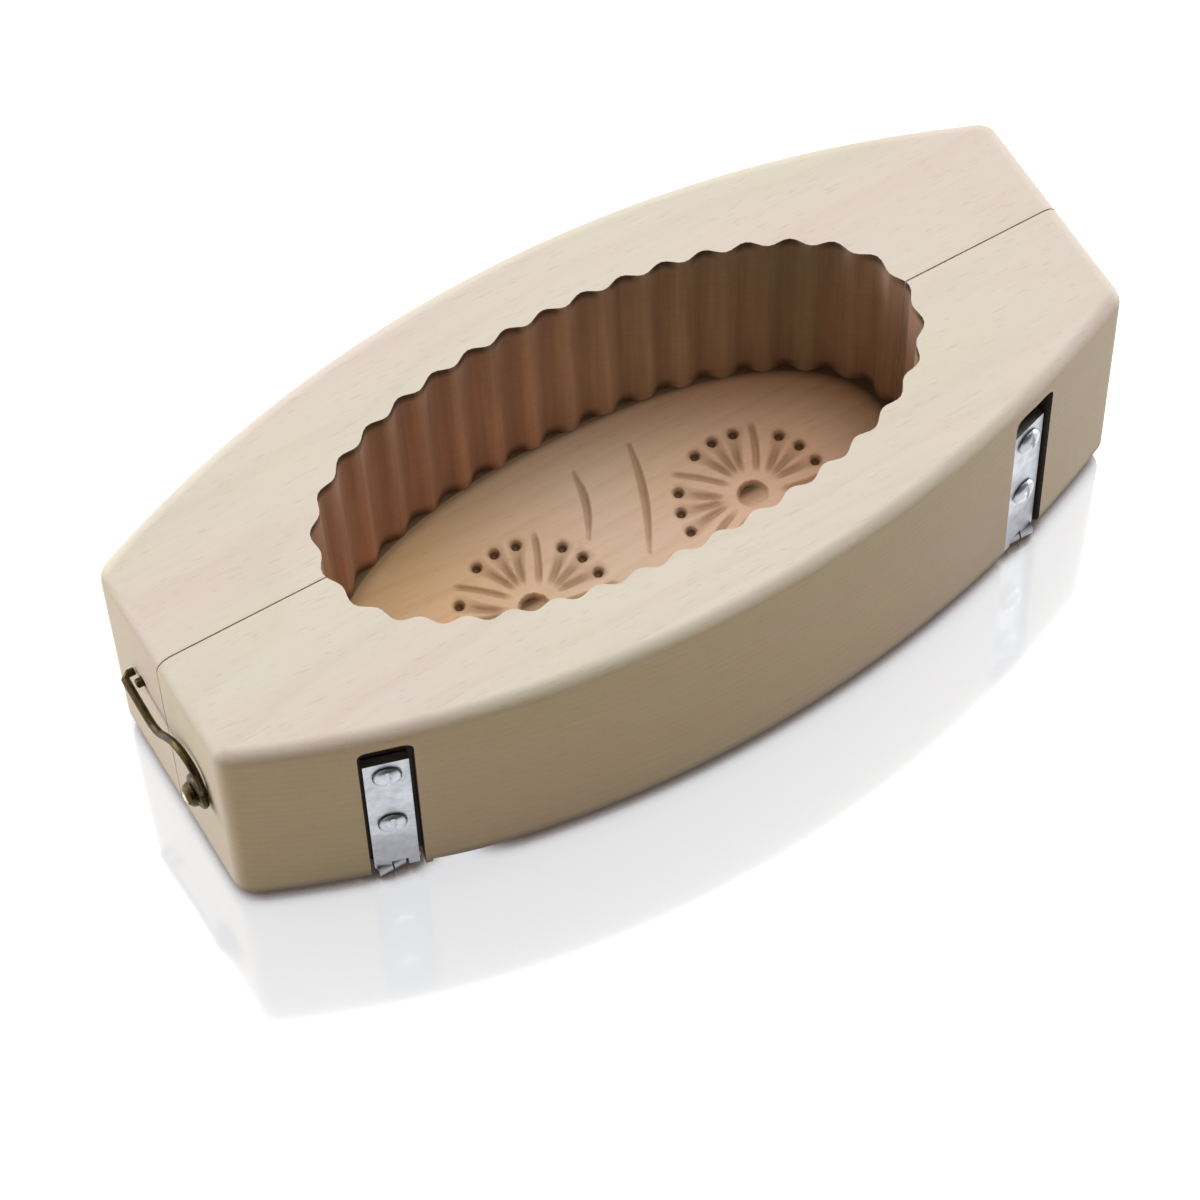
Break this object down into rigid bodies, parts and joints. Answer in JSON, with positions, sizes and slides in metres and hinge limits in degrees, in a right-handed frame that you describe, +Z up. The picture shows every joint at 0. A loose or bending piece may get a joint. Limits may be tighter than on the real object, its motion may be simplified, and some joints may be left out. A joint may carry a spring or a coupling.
{
  "type": "butter mold",
  "caption": "Wooden butter mold: fluted side pieces hinged to a carved base board and held shut by wire hooks on both ends.",
  "frame": {"origin": "on the table, under the middle of the base board", "axes": "+X along the mold's length, +Z up out of the hollow's mouth, -Y towards the front side with its two strap hinges"},
  "size_m": [0.2082, 0.092, 0.0595],
  "materials": {
    "pale_wood": "sanded, unvarnished, fine straight grain",
    "floor_wood": "sanded, unvarnished, carved and drilled",
    "zinc_steel": "zinc plated, satin",
    "brass": "darkened"
  },
  "bodies": {
    "base": {"base_board": "floor_wood", "base_leaf_front_left": "zinc_steel", "base_leaf_front_right": "zinc_steel", "base_leaf_back_left": "zinc_steel", "base_leaf_back_right": "zinc_steel", "hinge_pin_front_left": "zinc_steel", "hinge_pin_front_right": "zinc_steel", "hinge_pin_back_left": "zinc_steel", "hinge_pin_back_right": "zinc_steel", "base_screw_front_left_inner": "zinc_steel", "base_screw_front_left_outer": "zinc_steel", "base_screw_front_right_inner": "zinc_steel", "base_screw_front_right_outer": "zinc_steel", "base_screw_back_left_inner": "zinc_steel", "base_screw_back_left_outer": "zinc_steel", "base_screw_back_right_inner": "zinc_steel", "base_screw_back_right_outer": "zinc_steel"},
    "front_side": {"front_half": "pale_wood", "strap_leaf_front_left": "zinc_steel", "strap_leaf_front_right": "zinc_steel", "strap_screw_front_left_upper": "zinc_steel", "strap_screw_front_left_lower": "zinc_steel", "strap_screw_front_right_upper": "zinc_steel", "strap_screw_front_right_lower": "zinc_steel", "hook_screw_left": "brass", "hook_screw_right": "brass"},
    "back_side": {"back_half": "pale_wood", "strap_leaf_back_left": "zinc_steel", "strap_leaf_back_right": "zinc_steel", "strap_screw_back_left_upper": "zinc_steel", "strap_screw_back_left_lower": "zinc_steel", "strap_screw_back_right_upper": "zinc_steel", "strap_screw_back_right_lower": "zinc_steel", "catch_post_left": "brass", "catch_post_right": "brass"},
    "left_latch": {"left_hook": "brass"},
    "right_latch": {"right_hook": "brass"}
  },
  "joints": [
    {"name": "front_side_swing", "type": "hinge", "parent": "base", "child": "front_side", "pos_m": [0, -0.0315, 0.0025], "axis": [1, 0, 0], "range_deg": [0, 95]},
    {"name": "back_side_swing", "type": "hinge", "parent": "base", "child": "back_side", "pos_m": [0, 0.0315, 0.0025], "axis": [-1, 0, 0], "range_deg": [0, 95]},
    {"name": "left_hook_swing", "type": "hinge", "parent": "front_side", "child": "left_latch", "pos_m": [-0.10115, -0.014, 0.0325], "axis": [1, 0, 0], "range_deg": [0, 120]},
    {"name": "right_hook_swing", "type": "hinge", "parent": "front_side", "child": "right_latch", "pos_m": [0.10115, -0.014, 0.0325], "axis": [1, 0, 0], "range_deg": [0, 120]}
  ]
}
